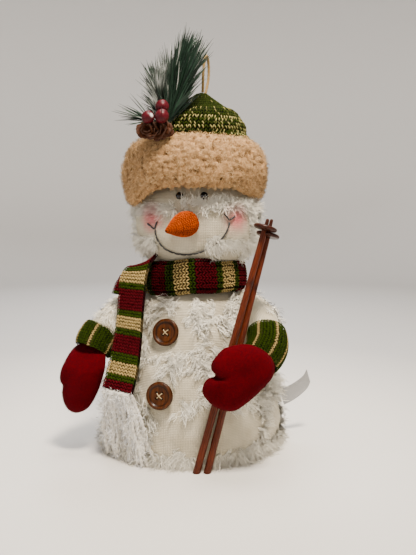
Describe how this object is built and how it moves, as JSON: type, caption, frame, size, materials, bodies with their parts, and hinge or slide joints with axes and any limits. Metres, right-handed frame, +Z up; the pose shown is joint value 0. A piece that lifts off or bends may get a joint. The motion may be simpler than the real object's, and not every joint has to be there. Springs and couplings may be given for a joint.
{
  "type": "stuffed cloth snowman decoration",
  "caption": "Standing stuffed cloth snowman with a knitted hat, sherpa cuff, pine pick, striped scarf, red mittens, wooden buttons and wooden ski poles",
  "frame": {"origin": "Middle of the flat base that the snowman stands on", "axes": "+Z up; the front of the body faces -Y; +X is towards the left hand of the snowman"},
  "size_m": [0.253, 0.2307, 0.457],
  "materials": {
    "white_cloth": "matte",
    "sherpa": "matte",
    "hat_knit": "matte",
    "scarf_knit": "matte",
    "cuff_knit": "matte",
    "red_felt": "matte",
    "fringe_yarn": "matte",
    "carrot_knit": "matte",
    "black_bead": "gloss",
    "black_floss": "matte",
    "twine": "matte",
    "pine_foil": "matte",
    "berry": "gloss",
    "cone_wood": "matte",
    "pole_wood": "satin",
    "button_wood": "satin",
    "satin_label": "satin"
  },
  "bodies": {
    "root": {"body": "white_cloth", "head": "white_cloth", "eye_right": "black_bead", "eye_left": "black_bead", "nose": "carrot_knit", "smile_stitch": "black_floss", "cheek_stitch_right": "black_floss", "cheek_stitch_left": "black_floss", "hat_crown": "hat_knit", "hat_cuff": "sherpa", "berry_top": "berry", "berry_middle": "berry", "berry_side": "berry", "pinecone": "cone_wood", "pine_sprig": "pine_foil", "hanging_loop": "twine", "mitten_right": "red_felt", "arm_right": "white_cloth", "wrist_cuff_right": "cuff_knit", "mitten_left": "red_felt", "arm_left": "white_cloth", "wrist_cuff_left": "cuff_knit", "scarf": "scarf_knit", "scarf_fringe": "fringe_yarn", "pole_1": "pole_wood", "basket_1": "pole_wood", "pole_2": "pole_wood", "basket_2": "pole_wood", "button_upper": "button_wood", "button_lower": "button_wood", "care_label": "satin_label"}
  },
  "joints": []
}
